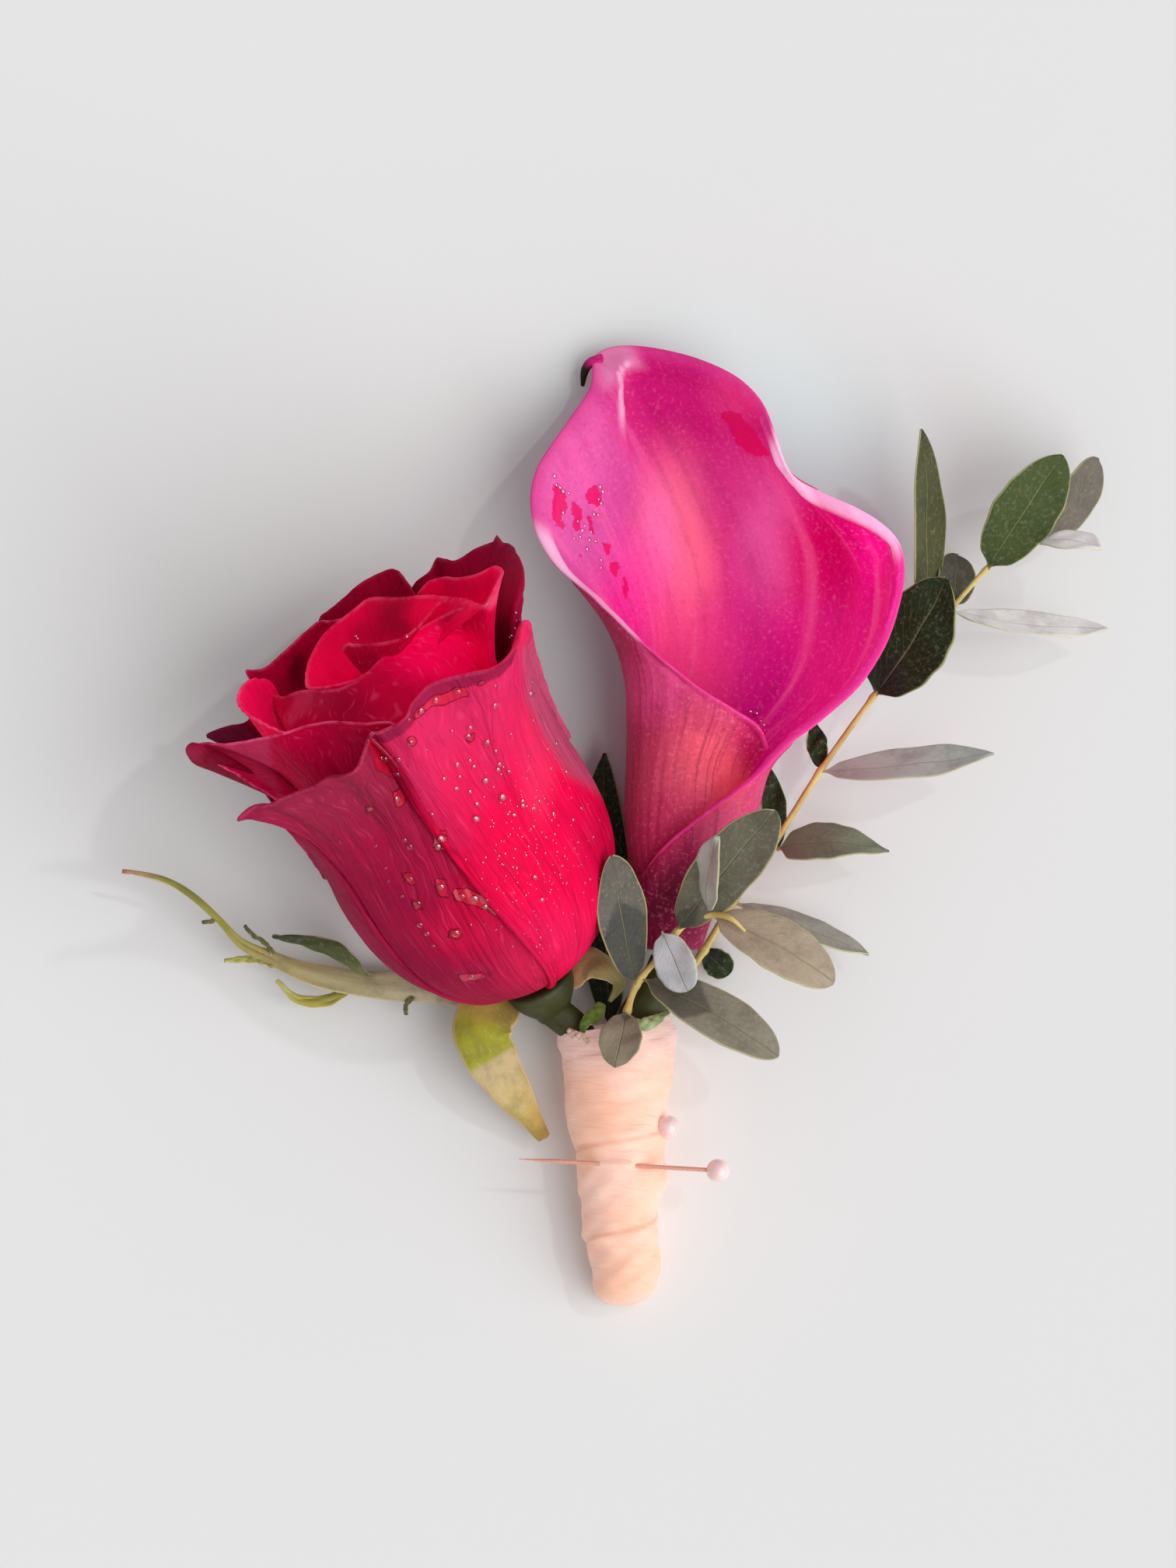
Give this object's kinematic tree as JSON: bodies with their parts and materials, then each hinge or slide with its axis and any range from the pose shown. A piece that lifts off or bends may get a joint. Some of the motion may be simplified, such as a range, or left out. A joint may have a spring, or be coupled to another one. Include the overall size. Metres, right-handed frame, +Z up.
{
  "type": "boutonniere corsage",
  "caption": "Small lapel spray of a red rose, a magenta calla and grey-green leaf sprigs, their stems bound in peach tape and pierced by pearl-headed pins.",
  "frame": {"origin": "under the middle of the whole, on the surface that it lies on", "axes": "+Z up, away from the surface; +Y from the taped stems to the flowers; +X to the viewer's right, towards the calla and the long sprig"},
  "size_m": [0.1534, 0.1495, 0.0601],
  "materials": {
    "red_petal": "satin, velvety on the outside",
    "rose_green": "matt, downy",
    "calla_petal": "satin",
    "spadix_yellow": "matt, granular",
    "calla_stem_green": "satin",
    "grey_leaf": "matt",
    "short_sprig_leaf": "matt",
    "dark_leaf": "satin",
    "peach_tape": "matt, slightly waxed",
    "pin_metal": "bright",
    "pearl": "gloss"
  },
  "bodies": {
    "root": {"rose_bloom": "red_petal", "rose_stem": "rose_green", "calla_spathe": "calla_petal", "calla_spadix": "spadix_yellow", "calla_stem": "calla_stem_green", "eucalyptus_long": "grey_leaf", "eucalyptus_short": "short_sprig_leaf", "backing_leaf": "dark_leaf", "stem_wrap": "peach_tape", "pin_a_shaft": "pin_metal", "pin_b_shaft": "pin_metal", "pin_a_pearl": "pearl", "pin_b_pearl": "pearl"}
  },
  "joints": []
}
